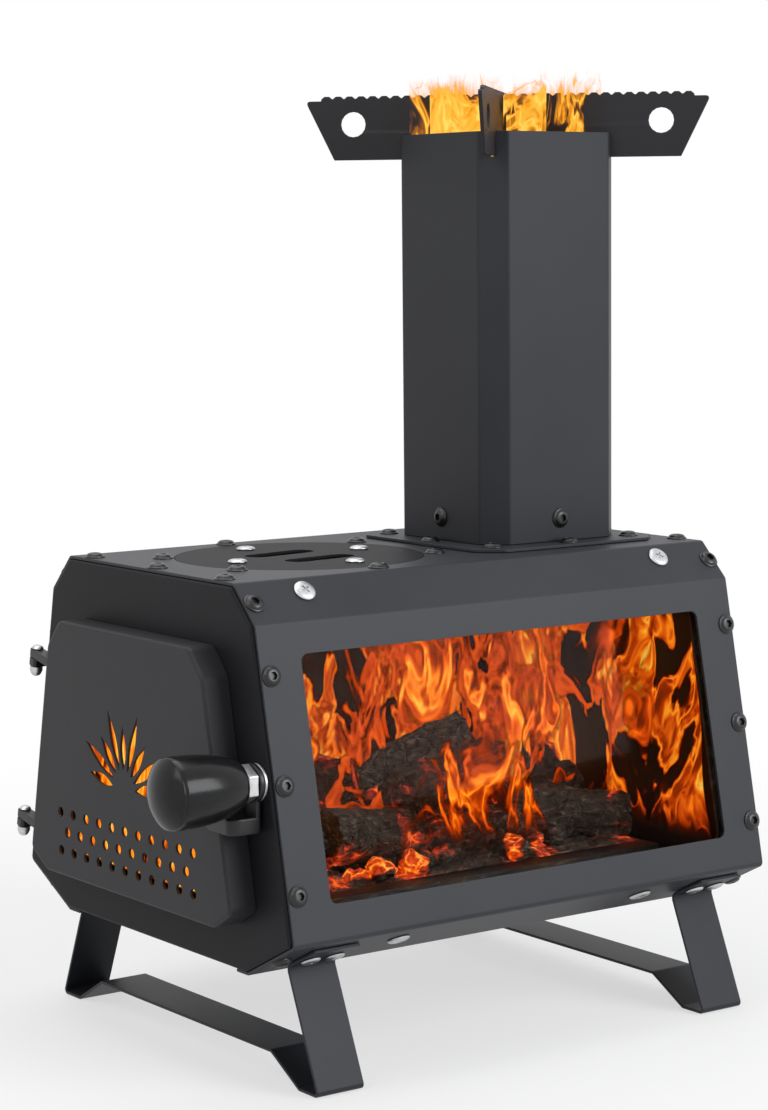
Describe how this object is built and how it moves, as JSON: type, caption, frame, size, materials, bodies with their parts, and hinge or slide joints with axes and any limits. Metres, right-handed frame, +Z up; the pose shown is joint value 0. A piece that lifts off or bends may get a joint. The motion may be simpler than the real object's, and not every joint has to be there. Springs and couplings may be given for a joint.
{
  "type": "tent wood stove",
  "caption": "Small steel tent stove with a hinged door, window, lift-out lid, square flue, pot rack and strap legs.",
  "frame": {"origin": "on the ground, under the middle of the overall box", "axes": "+X along the firebox from the door end to the flue end, +Y from the window side to the back, +Z up"},
  "size_m": [0.3614, 0.253, 0.4809],
  "materials": {
    "black_coat": "matt charcoal heat-proof coat",
    "leg_coat": "matt charcoal heat-proof coat",
    "rack_coat": "matt black heat-proof coat",
    "black_screw": "satin black oxide",
    "bright_steel": "bright stainless steel",
    "bare_steel": "bare rolled steel, heat-dulled",
    "knob_black": "glossy black heat-proof plastic",
    "glass": "clear heat-proof glass ceramic",
    "gasket": "woven fibre rope, flattened"
  },
  "bodies": {
    "firebox": {"outer_shell": "black_coat", "floor_panel": "bare_steel", "door_end_plate": "black_coat", "chimney_end_plate": "black_coat", "glass_gasket": "gasket", "window_glass": "glass", "glass_retainer": "bare_steel", "window_screw_1": "bright_steel", "window_screw_2": "bright_steel", "window_screw_3": "bright_steel", "window_screw_4": "bright_steel", "leg_door_end": "leg_coat", "leg_chimney_end": "leg_coat", "leg_screw_1": "bright_steel", "leg_screw_2": "bright_steel", "leg_screw_3": "bright_steel", "leg_screw_4": "bright_steel", "leg_screw_5": "bright_steel", "leg_screw_6": "bright_steel", "leg_screw_7": "bright_steel", "leg_screw_8": "bright_steel", "lid_seat_ring": "black_coat", "chimney_collar": "black_coat", "chimney_tube": "black_coat", "chimney_screw_1": "black_screw", "chimney_screw_2": "black_screw", "chimney_screw_3": "black_screw", "chimney_screw_4": "black_screw", "body_lug_upper": "black_coat", "body_lug_lower": "black_coat", "hinge_pin_upper": "bright_steel", "hinge_pin_lower": "bright_steel"},
    "door": {"door_pan": "black_coat", "door_lug_upper": "black_coat", "door_lug_lower": "black_coat"},
    "latch": {"latch_bolt": "bright_steel", "latch_washer": "bright_steel", "latch_arm": "black_coat", "latch_nut": "bright_steel", "knob": "knob_black"},
    "lid": {"cooking_lid": "black_coat", "lid_under_pan": "bare_steel", "lid_screw_1": "bright_steel", "lid_screw_2": "bright_steel", "lid_screw_3": "bright_steel", "lid_screw_4": "bright_steel"},
    "grate": {"fire_grate": "bare_steel"},
    "rack_lower": {"rack_plate_lower": "rack_coat"},
    "rack_upper": {"rack_plate_upper": "rack_coat"}
  },
  "joints": [
    {"name": "door_hinge", "type": "hinge", "parent": "firebox", "child": "door", "pos_m": [-0.13201, 0.09822, 0.189], "axis": [0, 0.1967, -0.9805], "range_deg": [0, 115]},
    {"name": "knob_turn", "type": "hinge", "parent": "firebox", "child": "latch", "pos_m": [-0.12401, -0.09959, 0.1513], "axis": [-1, 0, 0], "range_deg": [0, 90]},
    {"name": "lid_lift", "type": "slide", "parent": "firebox", "child": "lid", "axis": [0, 0, 1], "range_m": [0, 0.12]},
    {"name": "grate_lift", "type": "slide", "parent": "firebox", "child": "grate", "axis": [0, 0, 1], "range_m": [0, 0.03]},
    {"name": "rack_lift", "type": "slide", "parent": "firebox", "child": "rack_lower", "axis": [0, 0, 1], "range_m": [0, 0.06]},
    {"name": "rack_part", "type": "slide", "parent": "rack_lower", "child": "rack_upper", "axis": [0, 0, 1], "range_m": [0, 0.06]}
  ]
}
